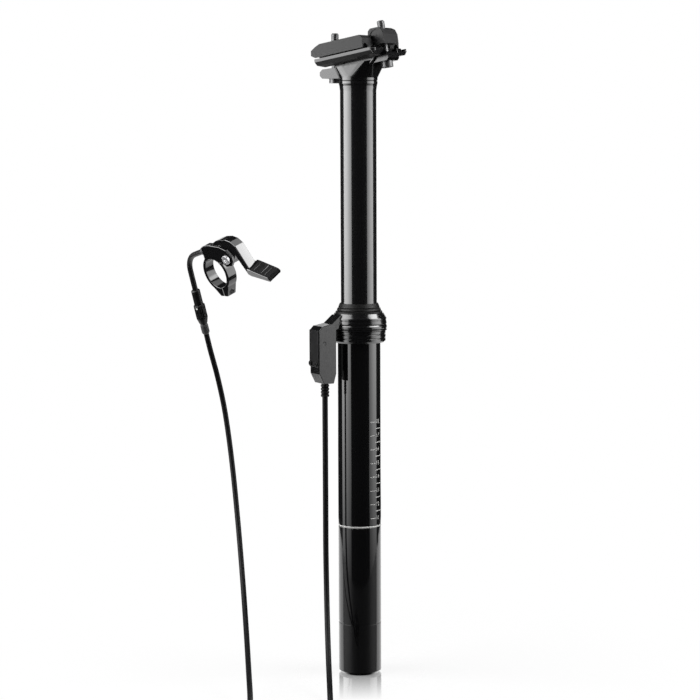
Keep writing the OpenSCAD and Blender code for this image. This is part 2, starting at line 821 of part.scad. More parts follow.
module at_leg() {
    at_remote() translate([leg_at[0], 0, leg_at[1]]) rotate([0, leg_lean, 0]) children();
}

module along_noodle() {
    translate([stop_x, 0, wire_z]) rotate([0, -90 - noodle_slope, 0]) children();
}

// Outline of the clamp round the bar, drawn out to its tip below
module band_outline() {
    difference() {
        union() {
            circle(r = band_r);
            polygon([
                [-band_r * cos(28), -band_r * sin(28)], [-2, tip_z], [5.5, tip_z],
                [band_r, -2], [band_r, 0], [0, 0]
            ]);
        }
        circle(r = bar_r);
    }
}

// The band is slit at its tip, where the clamp screw draws it shut round the bar
module clamp_band() {
    slit = 1;
    color(satin_black) at_remote() difference() {
        intersection() {
            side_slab(band_w) band_outline();
            translate([-50, -50, -50]) cube([100, 100, 50 + split_z - eps]);
        }
        translate([1.75 - slit / 2, -50, tip_z - 1]) cube([slit, 100, 10]);
        translate([-3.5, 0, screw_z]) rotate([0, 90, 0]) cylinder(r = 1.2 + slide_gap, h = 10);
        translate([4.6, 0, screw_z]) rotate([0, 90, 0]) cylinder(r = 2 + slide_gap, h = 10);
    }
}

module clamp_screw() {
    color(satin_black) at_remote() translate([-3.4, 0, screw_z]) rotate([0, 90, 0]) difference() {
        union() {
            cylinder(r = 1.2, h = 8);
            translate([0, 0, 8]) cylinder(r = 2, h = 1.6);
        }
        translate([0, 0, 8.6]) cylinder(r = 1.1, h = 2, $fn = 6);
    }
}

module remote_bracket() {
    color(satin_black) at_remote() difference() {
        union() {
            intersection() {
                side_slab(band_w) circle(r = band_r);
                translate([-50, -50, split_z]) cube([100, 100, 50]);
            }
            side_slab(cheek_t, cheek_y + cheek_t / 2) polygon([
                [-8, split_z], [stop_x, 19], [-5.5, 21], [3, 22], [13, 21.4], [20.5, 19],
                [25, 14], [25, 10.4], [22, 7], [16, 6], [12, split_z]
            ]);
            side_slab(band_w) polygon([
                [stop_x, split_z], [stop_x, 19.5], [stop_x + 1.5, 20.6], [0, 20.6], [1, 13], [0, split_z]
            ]);
        }
        rotate([90, 0, 0]) cylinder(r = bar_r, h = 60, center = true);
        translate([pivot[0], 0, pivot[1]]) cross_cylinder(pivot_r + slide_gap, 30);
        along_noodle() translate([0, 0, -2.7]) cylinder(r = noodle_r + slide_gap, h = 6);
        along_noodle() translate([0, 0, -20]) cylinder(r = wire_r, h = 20);
    }
}

module pivot_screw() {
    head_h = 2;
    shank = cheek_t + free_gap + lever_w + 0.7;
    color(steel) at_remote() translate([pivot[0], 0, pivot[1]]) difference() {
        union() {
            translate([0, cheek_y - head_h / 2, 0]) cross_cylinder(3.4, head_h);
            translate([0, cheek_y + shank / 2 - eps, 0]) cross_cylinder(pivot_r, shank);
        }
        translate([0, cheek_y - head_h, 0]) rotate([90, 0, 0])
            cylinder(r = 1.6, h = 2.6, center = true, $fn = 6);
    }
}

// Side outline of the thumb lever, arched from its hub over the bracket to the paddle
module lever_outline() {
    hub_r = 4.6;
    translate(pivot) circle(r = hub_r);
    polygon([
        [3.4, 21], [4, 22.8], [8, 24.6], [13.5, 25.8], [20, 26.2], [25.6, 24.8], [29.8, 21.6],
        [37.6, 5.6], [38, 2], [35.6, 1.4], [33.6, 2.6], [26.6, 14.4], [22.4, 9.4], [15.4, 13.6], [9, 17.6]
    ]);
}

module paddle_outline() {
    polygon([
        [35, 4.6], [36.8, 6.4], [39.4, 5.8], [55.6, 0], [57, -1.8], [56, -3.4], [38, 0.4],
        [35.4, 1.8]
    ]);
}

// The paddle is wider than the lever's arm, and rolled towards the thumb
module lever() {
    mid_y = lever_y + lever_w / 2;
    paddle_y = mid_y + 1.5;
    paddle_roll = 14;
    grip_pitch = 3.2;
    color(satin_black) at_remote() difference() {
        union() {
            side_slab(lever_w, mid_y) lever_outline();
            translate([0, paddle_y, 2]) rotate([paddle_roll, 0, 0]) translate([0, 0, -2]) difference() {
                side_slab(paddle_w) paddle_outline();
                for (i = [0 : 3])
                    translate([42.4 + grip_pitch * i, 0, 4.95 - 1.146 * i])
                        cross_cylinder(0.55, paddle_w - 3);
            }
        }
        translate([pivot[0], 0, pivot[1]]) cross_cylinder(bush_r + slide_gap, 40);
        translate([anchor[0], 0, anchor[1]]) cross_cylinder(anchor_r + slide_gap, 40);
    }
}

module lever_bush() {
    color(brass) at_remote() translate([pivot[0], lever_y + lever_w / 2, pivot[1]]) difference() {
        cross_cylinder(bush_r, lever_w);
        cross_cylinder(pivot_r + slide_gap, lever_w + 2);
    }
}

module anchor_screw() {
    head_h = 1.8;
    far_y = lever_y + lever_w;
    color(steel) at_remote() translate([anchor[0], 0, anchor[1]]) difference() {
        union() {
            translate([0, far_y + head_h / 2, 0]) cross_cylinder(2.4, head_h);
            translate([0, far_y - lever_w / 2 + eps, 0]) cross_cylinder(anchor_r, lever_w);
        }
        translate([0, far_y + head_h, 0]) rotate([90, 0, 0])
            cylinder(r = 1.2, h = 2, center = true, $fn = 6);
    }
}

// Bent guide tube: out of the bracket, round one bend and down into the adjuster
module noodle() {
    seat = 2.6;
    color(satin_black) {
        at_remote() along_noodle() translate([0, 0, -seat])
            cylinder(r = noodle_r, h = noodle_reach + seat + eps);
        at_remote() translate([bend_at[0], 0, bend_at[1]]) rotate([90, 0, 0])
            rotate(90 + noodle_slope) rotate_extrude(angle = 90 - noodle_slope - leg_lean)
                translate([noodle_bend, 0]) circle(r = noodle_r);
        at_leg() translate([0, 0, -leg_len - 6]) cylinder(r = noodle_r, h = leg_len + 6 + eps);
    }
}

module noodle_ferrule() {
    color(steel) at_remote() along_noodle()
        ring(noodle_r + slide_gap, noodle_r + 0.9, free_gap + 0.9, 3);
}

module adjuster_stem() {
    stem_r = 3.3;
    thread_r = 1.9;
    color(satin_black) at_leg() difference() {
        union() {
            rotate_extrude() polygon([
                [0, stem_low], [stem_r, stem_low], [stem_r, -leg_len - 0.6],
                [stem_r - 0.6, -leg_len], [0, -leg_len]
            ]);
            translate([0, 0, stem_low - 7]) cylinder(r = thread_r, h = 8);
        }
        translate([0, 0, -leg_len - 6 - slide_gap]) cylinder(r = noodle_r + slide_gap, h = 20);
    }
}

// Knurled thumb barrel that shortens or lengthens the housing
module adjuster_barrel() {
    barrel_r = 4.2;
    flutes = 16;
    color(satin_black) at_leg() difference() {
        rotate_extrude() polygon([
            [0, cone_low], [barrel_r - 1.2, cone_low], [barrel_r, barrel_low + 0.4],
            [barrel_r, barrel_low + barrel_len - 0.5], [barrel_r - 0.5, barrel_low + barrel_len],
            [0, barrel_low + barrel_len]
        ]);
        translate([0, 0, stem_low - 8]) cylinder(r = 1.9 + slide_gap, h = 20);
        for (i = [0 : flutes - 1])
            rotate(360 * i / flutes) translate([barrel_r + 0.25, 0, barrel_low + 1])
                cylinder(r = 0.5, h = barrel_len);
    }
}

module cable_sleeve() {
    sleeve_r = cable_d / 2 + 0.9;
    color(sleeve_grey) at_leg() rotate_extrude() polygon([
        [0, sleeve_low], [sleeve_r - 0.5, sleeve_low], [sleeve_r, sleeve_low + 1],
        [sleeve_r, sleeve_top - 2], [sleeve_r - 0.5, sleeve_top], [0, sleeve_top]
    ]);
}

outer_tube();
tail_cap();
rod_nut();
upper_bushing();
collar_nut();
actuator_housing();
actuator_cover();
cover_screws();
wiper_seal();
actuator_pin();
actuator_lever();
release_pin();
cable_boot();
cartridge_rod();
piston();
stanchion();
head();
lower_bushing();
guide_keys();
cartridge_tube();
seal_head();
rear_bolt();
rear_washer();
front_bolt();
front_washer();
lower_cradle();
upper_clamp();
front_nut();
rear_nut();
remote_bracket();
clamp_band();
clamp_screw();
pivot_screw();
lever();
lever_bush();
anchor_screw();
noodle();
noodle_ferrule();
adjuster_stem();
adjuster_barrel();
cable_sleeve();
cable_post_run();
cable_coil();
coil_tie();
cable_remote_run();
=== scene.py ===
import json
import math

import bpy
from mathutils import Matrix, Vector


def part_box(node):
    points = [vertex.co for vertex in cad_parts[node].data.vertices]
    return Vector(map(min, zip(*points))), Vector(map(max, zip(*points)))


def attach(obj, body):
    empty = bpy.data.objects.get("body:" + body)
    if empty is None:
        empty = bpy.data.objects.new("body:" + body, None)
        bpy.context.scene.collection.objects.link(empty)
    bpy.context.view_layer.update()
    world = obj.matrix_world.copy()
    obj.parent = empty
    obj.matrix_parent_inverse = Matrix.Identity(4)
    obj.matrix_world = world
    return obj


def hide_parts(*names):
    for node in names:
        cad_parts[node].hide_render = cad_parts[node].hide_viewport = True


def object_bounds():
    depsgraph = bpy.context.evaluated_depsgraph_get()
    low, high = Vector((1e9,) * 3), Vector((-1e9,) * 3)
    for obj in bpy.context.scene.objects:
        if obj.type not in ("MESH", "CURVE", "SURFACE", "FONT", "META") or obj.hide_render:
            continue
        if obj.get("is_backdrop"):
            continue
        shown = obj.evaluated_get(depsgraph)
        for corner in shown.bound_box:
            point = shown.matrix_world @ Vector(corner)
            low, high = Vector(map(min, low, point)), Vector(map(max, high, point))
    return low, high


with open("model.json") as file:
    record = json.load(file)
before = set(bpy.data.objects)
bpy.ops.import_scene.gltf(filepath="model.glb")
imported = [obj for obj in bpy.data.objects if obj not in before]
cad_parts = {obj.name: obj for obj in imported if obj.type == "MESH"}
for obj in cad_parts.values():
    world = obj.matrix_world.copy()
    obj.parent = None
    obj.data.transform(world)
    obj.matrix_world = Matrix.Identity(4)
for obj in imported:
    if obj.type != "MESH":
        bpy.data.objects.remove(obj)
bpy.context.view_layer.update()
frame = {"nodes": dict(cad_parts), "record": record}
scene = bpy.context.scene
scene.view_settings.view_transform = "Standard"


# Camera. A long lens stands on a tripod a metre and a half from the post, at the rider's
# left and turned 30 degrees towards the rear, and is tipped a little down.
VIEW_TURN = math.radians(30)
CAMERA_FAR = 1.5
CAMERA_HIGH = 0.40
LENS_MM, SENSOR_MM = 107.9, 36
TIPPED, ROLLED, AIMED = math.radians(90 - 6.24), math.radians(0.23), math.radians(0.224)
camera_data = bpy.data.cameras.new("camera")
camera = bpy.data.objects.new("camera", camera_data)
scene.collection.objects.link(camera)
scene.camera = camera
camera_data.lens = LENS_MM
camera_data.sensor_width = SENSOR_MM
camera.location = (CAMERA_FAR * math.sin(VIEW_TURN), -CAMERA_FAR * math.cos(VIEW_TURN), CAMERA_HIGH)
camera.rotation_mode = "XYZ"
camera.rotation_euler = (TIPPED, ROLLED, VIEW_TURN + AIMED)

# Control cable. One length of extruded black casing leaves the boot, hangs down to the
# table, lies there in a tied coil, and climbs to the remote's adjuster.
CABLE_R = 0.002
BOOT_REACH, BOOT_TURN = 28.2, math.radians(210)
BOOT_END = (BOOT_REACH * math.cos(BOOT_TURN), BOOT_REACH * math.sin(BOOT_TURN))
COIL_X, COIL_Y, COIL_R, COIL_PITCH, COIL_Z, COIL_STEP = -47, -150, 27, 5, 3.2, 4.8
COIL_IN, COIL_RISE, COIL_OUT, COIL_ARC = 720, 180, 720, 15
post_run = [
    (*BOOT_END, 204), (*BOOT_END, 184), (-24.4, -14.1, 150), (-24.4, -14.1, 120), (-24.4, -14.5, 94),
    (-24, -18.5, 66), (-23.3, -31, 40.5), (-22.3, -51, 20.5), (-21.2, -76, 8), (-20.4, -104, 3.6),
    (-20, -130, 3.2), (COIL_X + COIL_R, COIL_Y + 4, COIL_Z),
]
remote_run = [
    (COIL_X - COIL_R, COIL_Y + 4, COIL_Z + COIL_STEP), (-74, -130, 8), (-75, -106, 10.5), (-77.5, -74, 18.5),
    (-81, -34, 35), (-85.5, 8, 62), (-90.5, 38, 102), (-95.5, 54, 145), (-100.5, 58.5, 182),
    (-105.5, 55.2, 209), (-110.3, 48.6, 230.3), (-113.1, 43.8, 244.2),
]


def shown(name, mesh, body, material):
    """A new piece that moves with a body and wears the material it is given."""
    piece = bpy.data.objects.new(name, mesh)
    scene.collection.objects.link(piece)
    mesh.materials.append(material)
    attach(piece, body)
    return piece


def finish_of(name, colour, rough, metallic=0.0):
    """A new material: its shader with even values set, and a way to add nodes."""
    material = bpy.data.materials.new(name)
    material.use_nodes = True
    nodes = material.node_tree.nodes
    shader = nodes["Principled BSDF"]
    shader.inputs["Base Color"].default_value = (*colour, 1)
    shader.inputs["Roughness"].default_value = rough
    shader.inputs["Metallic"].default_value = metallic
    return material, nodes, material.node_tree.links, shader


def uneven(nodes, links, shader, scale, rough, depth):
    """Small unevenness of a finish: a noise moves its roughness in a range and lifts it by a depth."""
    place = nodes.new("ShaderNodeTexCoord")
    noise = nodes.new("ShaderNodeTexNoise")
    noise.inputs["Scale"].default_value = scale
    noise.inputs["Detail"].default_value = 4
    spread = nodes.new("ShaderNodeMapRange")
    spread.inputs["From Min"].default_value = 0.3
    spread.inputs["From Max"].default_value = 0.7
    spread.inputs["To Min"].default_value, spread.inputs["To Max"].default_value = rough
    bump = nodes.new("ShaderNodeBump")
    bump.inputs["Distance"].default_value = depth
    links.new(place.outputs["Object"], noise.inputs["Vector"])
    links.new(noise.outputs["Fac"], spread.inputs["Value"])
    links.new(spread.outputs["Result"], shader.inputs["Roughness"])
    links.new(noise.outputs["Fac"], bump.inputs["Height"])
    links.new(bump.outputs["Normal"], shader.inputs["Normal"])
    return noise


def smoothed(route, steps):
    """Points on a smooth curve through a route."""
    points = [Vector(p) for p in route]
    padded = [2 * points[0] - points[1], *points, 2 * points[-1] - points[-2]]
    line = []
    for i in range(1, len(padded) - 2):
        before, start, end, after = padded[i - 1 : i + 3]
        for k in range(steps):
            t = k / steps
            bend = 2 * before - 5 * start + 4 * end - after + t * (3 * (start - end) + after - before)
            line.append(start + 0.5 * t * (end - before + t * bend))
    return line + [points[-1]]


coil_run = []
for angle in range(0, COIL_IN + COIL_RISE + COIL_OUT + 1, COIL_ARC):
    inward = min(angle, COIL_IN)
    outward = max(angle - COIL_IN - COIL_RISE, 0)
    reach = COIL_R - COIL_PITCH * inward / 360 + COIL_PITCH * outward / 360
    climb = min(max((angle - COIL_IN) / COIL_RISE, 0), 1)
    coil_run.append(Vector((
        COIL_X + reach * math.cos(math.radians(angle)),
        COIL_Y - reach * math.sin(math.radians(angle)),
        COIL_Z + COIL_STEP * climb,
    )))
cable_line = [
    Matrix.Rotation(VIEW_TURN, 3, "Z") @ p / 1000
    for p in smoothed(post_run, 6) + coil_run + smoothed(remote_run, 6)
]
cable_curve = bpy.data.curves.new("control_cable", "CURVE")
cable_curve.dimensions = "3D"
cable_curve.bevel_depth = CABLE_R
cable_curve.bevel_resolution = 4
cable_curve.use_fill_caps = True
strand = cable_curve.splines.new("POLY")
strand.points.add(len(cable_line) - 1)
for knot, p in zip(strand.points, cable_line):
    knot.co = (*p, 1)
strand.use_smooth = True
casing, nodes, links, shader = finish_of("cable_casing", (0.007, 0.007, 0.0075), 0.45)
shader.inputs["Specular IOR Level"].default_value = 0.2
uneven(nodes, links, shader, 900, (0.36, 0.54), 0.00004)
cable = shown("control_cable", cable_curve, "lower_post", casing)
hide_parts("cable_post_run", "cable_coil", "cable_remote_run")

# Studio. The post stands on a round white table that mirrors it faintly, with a dark card
# in front of it that only the gloss sees. Tall soft boxes stand at its left and right. Black
# flags between them keep the gloss deep, and one high at the back darkens upward faces.
TABLE_R, TABLE_BACK, TABLE_SIDES = 0.45, 0.15, 96
TABLE_MIRROR, MIRROR_NEAR, MIRROR_FAR = 0.82, 0.012, 0.08
TABLE_SHADE, SHADE_NEAR, SHADE_FAR = 0.12, 0.12, 0.28
CARD_SWEEP, CARD_NONE, CARD_FULL = 0.25, 0.0115, 0.0155
SOFT_LEVEL = 0.35
to_camera = Vector((math.sin(VIEW_TURN), -math.cos(VIEW_TURN), 0))
table_mesh = bpy.data.meshes.new("table")
table_turns = [2 * math.pi * k / TABLE_SIDES for k in range(TABLE_SIDES)]
table_edge = [Vector((TABLE_R * math.cos(t), TABLE_R * math.sin(t), 0)) for t in table_turns]
table_mesh.from_pydata([p - TABLE_BACK * to_camera for p in table_edge], [], [range(TABLE_SIDES)])
table = bpy.data.objects.new("table", table_mesh)
scene.collection.objects.link(table)
table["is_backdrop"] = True
table_top, nodes, links, shader = finish_of("table_top", (0.008, 0.008, 0.008), 0.6)
table_mesh.materials.append(table_top)
seen = nodes.new("ShaderNodeLightPath")
white = nodes.new("ShaderNodeEmission")
place = nodes.new("ShaderNodeTexCoord")
distance = nodes.new("ShaderNodeVectorMath")
distance.operation = "LENGTH"
fade = nodes.new("ShaderNodeMapRange")
fade.inputs["From Min"].default_value = MIRROR_NEAR
fade.inputs["From Max"].default_value = MIRROR_FAR
fade.inputs["To Min"].default_value = TABLE_MIRROR
fade.inputs["To Max"].default_value = 0
shade = nodes.new("ShaderNodeMapRange")
shade.interpolation_type = "SMOOTHSTEP"
shade.inputs["From Min"].default_value = SHADE_NEAR
shade.inputs["From Max"].default_value = SHADE_FAR
shade.inputs["To Min"].default_value = TABLE_SHADE
shade.inputs["To Max"].default_value = 0
mirror = nodes.new("ShaderNodeBsdfGlossy")
mirror.inputs["Color"].default_value = (1, 1, 1, 1)
mirror.inputs["Roughness"].default_value = 0.1
lit = nodes.new("ShaderNodeBsdfDiffuse")
lit.inputs["Color"].default_value = (1, 1, 1, 1)
polished = nodes.new("ShaderNodeMixShader")
shaded = nodes.new("ShaderNodeMixShader")
ahead = nodes.new("ShaderNodeVectorMath")
ahead.operation = "DOT_PRODUCT"
ahead.inputs[1].default_value = to_camera
swept = nodes.new("ShaderNodeMath")
swept.operation = "MULTIPLY_ADD"
swept.inputs[1].default_value = CARD_SWEEP
card = nodes.new("ShaderNodeMapRange")
card.inputs["From Min"].default_value = CARD_NONE
card.inputs["From Max"].default_value = CARD_FULL
card.inputs["To Min"].default_value = 1
card.inputs["To Max"].default_value = 0
behind = nodes.new("ShaderNodeMixShader")
either = nodes.new("ShaderNodeMath")
either.operation = "MAXIMUM"
in_gloss = nodes.new("ShaderNodeMixShader")
in_view = nodes.new("ShaderNodeMixShader")
links.new(place.outputs["Object"], distance.inputs[0])
links.new(distance.outputs["Value"], fade.inputs["Value"])
links.new(fade.outputs["Result"], polished.inputs["Fac"])
links.new(white.outputs["Emission"], polished.inputs[1])
links.new(mirror.outputs["BSDF"], polished.inputs[2])
links.new(distance.outputs["Value"], shade.inputs["Value"])
links.new(shade.outputs["Result"], shaded.inputs["Fac"])
links.new(polished.outputs["Shader"], shaded.inputs[1])
links.new(lit.outputs["BSDF"], shaded.inputs[2])
links.new(place.outputs["Object"], ahead.inputs[0])
links.new(distance.outputs["Value"], swept.inputs[0])
links.new(ahead.outputs["Value"], swept.inputs[2])
links.new(swept.outputs[0], card.inputs["Value"])
links.new(card.outputs["Result"], behind.inputs["Fac"])
links.new(shader.outputs["BSDF"], behind.inputs[1])
links.new(white.outputs["Emission"], behind.inputs[2])
links.new(seen.outputs["Is Glossy Ray"], either.inputs[0])
links.new(seen.outputs["Is Transmission Ray"], either.inputs[1])
links.new(either.outputs[0], in_gloss.inputs["Fac"])
links.new(shader.outputs["BSDF"], in_gloss.inputs[1])
links.new(behind.outputs["Shader"], in_gloss.inputs[2])
links.new(seen.outputs["Is Camera Ray"], in_view.inputs["Fac"])
links.new(in_gloss.outputs["Shader"], in_view.inputs[1])
links.new(shaded.outputs["Shader"], in_view.inputs[2])
links.new(in_view.outputs["Shader"], nodes["Material Output"].inputs["Surface"])

world = bpy.data.worlds.new("backdrop")
scene.world = world
world.use_nodes = True
nodes = world.node_tree.nodes
links = world.node_tree.links
soft = nodes["Background"]
soft.inputs["Color"].default_value = (1, 1, 1, 1)
soft.inputs["Strength"].default_value = SOFT_LEVEL
white = nodes.new("ShaderNodeBackground")
white.inputs["Color"].default_value = (1, 1, 1, 1)
white.inputs["Strength"].default_value = 1
seen = nodes.new("ShaderNodeLightPath")
either = nodes.new("ShaderNodeMath")
either.operation = "MAXIMUM"
any_of = nodes.new("ShaderNodeMath")
any_of.operation = "MAXIMUM"
blend = nodes.new("ShaderNodeMixShader")
links.new(seen.outputs["Is Camera Ray"], either.inputs[0])
links.new(seen.outputs["Is Glossy Ray"], either.inputs[1])
links.new(either.outputs[0], any_of.inputs[0])
links.new(seen.outputs["Is Transmission Ray"], any_of.inputs[1])
links.new(any_of.outputs[0], blend.inputs["Fac"])
links.new(soft.outputs["Background"], blend.inputs[1])
links.new(white.outputs["Background"], blend.inputs[2])
links.new(blend.outputs["Shader"], nodes["World Output"].inputs["Surface"])


def screen(name, start, end, far, low, high):
    """An upright curved sheet round the post, unseen by the camera, by bearings from the camera's."""
    steps = 12
    rim = [VIEW_TURN + math.radians(start + (end - start) * k / steps) for k in range(steps + 1)]
    points = [(far * math.sin(b), -far * math.cos(b), z) for z in (low, high) for b in rim]
    faces = [(k, k + 1, k + steps + 2, k + steps + 1) for k in range(steps)]
    mesh = bpy.data.meshes.new(name)
    mesh.from_pydata(points, [], faces)
    sheet = bpy.data.objects.new(name, mesh)
    scene.collection.objects.link(sheet)
    sheet.visible_camera = False
    sheet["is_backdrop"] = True
    return mesh


# A fade is a list of heights with the share of light there. A soft box has a name, the
# bearings of its inner edge, outer edge and full light, its strength and its fade.
LEFT_FADE = [(-0.22, 0), (-0.137, 0.13), (-0.06, 0.26), (0.05, 0.43), (0.21, 0.8), (0.45, 0.92)]
RIGHT_FADE = [
    (-0.22, 0), (-0.137, 0.06), (-0.06, 0.12), (0.05, 0.2), (0.21, 0.3),
    (0.45, 0.34), (0.75, 0.38), (1.1, 0.85), (1.6, 0.85), (1.9, 0),
]
SOFT_BOXES = [
    ("left_box", -46, -104.5, -78, 5.1, LEFT_FADE),
    ("right_box", 56, 104, 82, 9, RIGHT_FADE),
]
BOX_FAR, BOX_LOW, BOX_HIGH, BOX_RIM = 1.1, -0.45, 2.6, 0.45
for name, inner, outer, full, level, steps in SOFT_BOXES:
    silk = bpy.data.materials.new(name)
    silk.use_nodes = True
    nodes, links = silk.node_tree.nodes, silk.node_tree.links
    nodes.remove(nodes["Principled BSDF"])
    glow = nodes.new("ShaderNodeEmission")
    place = nodes.new("ShaderNodeTexCoord")
    axes = nodes.new("ShaderNodeSeparateXYZ")
    rise = nodes.new("ShaderNodeMapRange")
    rise.inputs["From Min"].default_value = BOX_LOW
    rise.inputs["From Max"].default_value = BOX_HIGH
    fade = nodes.new("ShaderNodeValToRGB")
    stops = fade.color_ramp.elements
    while len(stops) < len(steps):
        stops.new(0.5)
    for stop, (z, part) in zip(stops, steps):
        stop.position = (z - BOX_LOW) / (BOX_HIGH - BOX_LOW)
        stop.color = (part, part, part, 1)
    away = nodes.new("ShaderNodeMath")
    away.operation = "MULTIPLY"
    away.inputs[1].default_value = -1
    bearing = nodes.new("ShaderNodeMath")
    bearing.operation = "ARCTAN2"
    across = nodes.new("ShaderNodeMapRange")
    across.inputs["From Min"].default_value = VIEW_TURN + math.radians(inner)
    across.inputs["From Max"].default_value = VIEW_TURN + math.radians(full)
    across.inputs["To Min"].default_value = BOX_RIM * level
    across.inputs["To Max"].default_value = level
    links.new(place.outputs["Object"], axes.inputs["Vector"])
    links.new(axes.outputs["Z"], rise.inputs["Value"])
    links.new(rise.outputs["Result"], fade.inputs["Fac"])
    links.new(fade.outputs["Color"], glow.inputs["Color"])
    links.new(axes.outputs["Y"], away.inputs[0])
    links.new(axes.outputs["X"], bearing.inputs[0])
    links.new(away.outputs[0], bearing.inputs[1])
    links.new(bearing.outputs[0], across.inputs["Value"])
    links.new(across.outputs["Result"], glow.inputs["Strength"])
    links.new(glow.outputs["Emission"], nodes["Material Output"].inputs["Surface"])
    screen(name, inner, outer, BOX_FAR, BOX_LOW, BOX_HIGH).materials.append(silk)
FLAG_FAR, FLAG_HIGH, GROUND_Z, GROUND_R = 1.9, 5, -0.8, 5
FLAGS = [
    ("front_flag", -45, 55, GROUND_Z),
    ("right_flag", 105, 161, GROUND_Z),
    ("left_flag", -161, -105.5, GROUND_Z),
    ("back_flag", 161, 199, 0.9),
]
felt, nodes, links, shader = finish_of("black_felt", (0.004, 0.004, 0.004), 0.9)
for name, start, end, low in FLAGS:
    screen(name, start, end, FLAG_FAR, low, FLAG_HIGH).materials.append(felt)

ground_mesh = bpy.data.meshes.new("ground")
ground_corners = [(GROUND_R * x, GROUND_R * y, GROUND_Z) for x, y in ((-1, -1), (1, -1), (1, 1), (-1, 1))]
ground_mesh.from_pydata(ground_corners, [], [range(4)])
ground_mesh.materials.append(felt)
ground = bpy.data.objects.new("ground", ground_mesh)
scene.collection.objects.link(ground)
ground.visible_camera = False
ground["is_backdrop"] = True

# Outer tube. A drawn aluminium tube with a gloss black coating, printed in white with the
# line that must stay in the frame and with a height scale in centimetres.
TUBE_R = 0.01545
LINE_Z, LINE_TALL = 0.109, 0.0014
SCALE_TOP_CM, SCALE_MARKS, SCALE_PITCH, SCALE_TOP = 18, 8, 0.01, 0.1853
MARK_TALL, MARK_STEPS, NUMBER_TALL, PRINT_LIFT = 0.0005, 6, 0.0042, 0.00004
LINE_SIDES, LINE_LIFT, LINE_SUNK = 96, 0.00001, -0.0002
MAJOR_TURN, MINOR_TURN, NUMBER_TURN = (31, 47.5), (48.5, 76), 49.5


def dress(material, *names):
    """Gives CAD pieces a finish."""
    for name in names:
        slots = frame["nodes"][name].data.materials
        slots.clear()
        slots.append(material)


def soften(width, *names, clamped=True, crease=34):
    """Rounds off edges of CAD pieces that bend more than a crease in degrees, as forging leaves them.
    Clamped, the rounding shrinks where edges are close; unclamped, it keeps its width."""
    weld_gap, flat_bend, rounds = 1e-6, 0.5, 3
    for name in names:
        stack = frame["nodes"][name].modifiers
        stack.new("welded", "WELD").merge_threshold = weld_gap
        merged = stack.new("merged", "DECIMATE")
        merged.decimate_type = "DISSOLVE"
        merged.angle_limit = math.radians(flat_bend)
        edge = stack.new("edge", "BEVEL")
        edge.width = width
        edge.segments = rounds
        edge.use_clamp_overlap = clamped
        edge.limit_method = "ANGLE"
        edge.angle_limit = math.radians(crease)
        stack.new("shading", "WEIGHTED_NORMAL").keep_sharp = True


def on_tube(turn, z, lift=PRINT_LIFT):
    """A point on the tube's face, by its bearing in degrees from the camera's."""
    bearing = VIEW_TURN + math.radians(turn)
    reach = TUBE_R + lift
    return reach * math.sin(bearing), -reach * math.cos(bearing), z


coating, nodes, links, shader = finish_of("gloss_coating", (0.006, 0.006, 0.0065), 0.2)
shader.inputs["Specular IOR Level"].default_value = 0.05
shader.inputs["Coat Weight"].default_value = 1
shader.inputs["Coat IOR"].default_value = 1.85
shader.inputs["Coat Roughness"].default_value = 0.06
uneven(nodes, links, shader, 260, (0.14, 0.3), 0.000004)
dress(coating, "outer_tube")

print_white, nodes, links, shader = finish_of("print_white", (0.72, 0.72, 0.7), 0.45)
noise = uneven(nodes, links, shader, 1600, (0.35, 0.6), 0.000002)
patchy = nodes.new("ShaderNodeValToRGB")
patchy.color_ramp.elements[0].position = 0.3
patchy.color_ramp.elements[0].color = (0.66, 0.66, 0.65, 1)
patchy.color_ramp.elements[1].position = 0.5
patchy.color_ramp.elements[1].color = (0.76, 0.76, 0.74, 1)
links.new(noise.outputs["Fac"], patchy.inputs["Fac"])
links.new(patchy.outputs["Color"], shader.inputs["Base Color"])

crown = [(-0.5, LINE_SUNK), (-0.45, LINE_LIFT), (0.45, LINE_LIFT), (0.5, LINE_SUNK)]
line_points = [
    on_tube(360 * k / LINE_SIDES, LINE_Z + high * LINE_TALL, lift)
    for k in range(LINE_SIDES) for high, lift in crown
]
line_faces = []
for k in range(LINE_SIDES):
    here, there = 4 * k, 4 * ((k + 1) % LINE_SIDES)
    line_faces += [(here + i, there + i, there + i + 1, here + i + 1) for i in range(3)]
line_mesh = bpy.data.meshes.new("insertion_line")
line_mesh.from_pydata(line_points, [], line_faces)
line_mesh.shade_smooth()
shown("insertion_line", line_mesh, "lower_post", print_white)

mark_points, mark_faces = [], []
for k in range(2 * SCALE_MARKS - 1):
    start, end = MINOR_TURN if k % 2 else MAJOR_TURN
    z = SCALE_TOP - k * SCALE_PITCH / 2
    first = len(mark_points)
    for step in range(MARK_STEPS + 1):
        turn = start + (end - start) * step / MARK_STEPS
        mark_points += [on_tube(turn, z - MARK_TALL / 2), on_tube(turn, z + MARK_TALL / 2)]
    mark_faces += [(i, i + 2, i + 3, i + 1) for i in range(first, first + 2 * MARK_STEPS, 2)]
for k in range(SCALE_MARKS):
    figure = bpy.data.curves.new("figure", "FONT")
    figure.body = str(SCALE_TOP_CM - k)
    figure.size = NUMBER_TALL
    figure.align_y = "CENTER"
    wording = bpy.data.objects.new("figure", figure)
    outline = wording.to_mesh()
    first = len(mark_points)
    for corner in outline.vertices:
        turn = NUMBER_TURN + math.degrees(corner.co.x / TUBE_R)
        mark_points.append(on_tube(turn, SCALE_TOP - k * SCALE_PITCH + corner.co.y))
    mark_faces += [tuple(first + i for i in face.vertices) for face in outline.polygons]
    bpy.data.objects.remove(wording)
    bpy.data.curves.remove(figure)
mark_mesh = bpy.data.meshes.new("scale_marks")
mark_mesh.from_pydata(mark_points, [], mark_faces)
shown("scale_marks", mark_mesh, "lower_post", print_white)

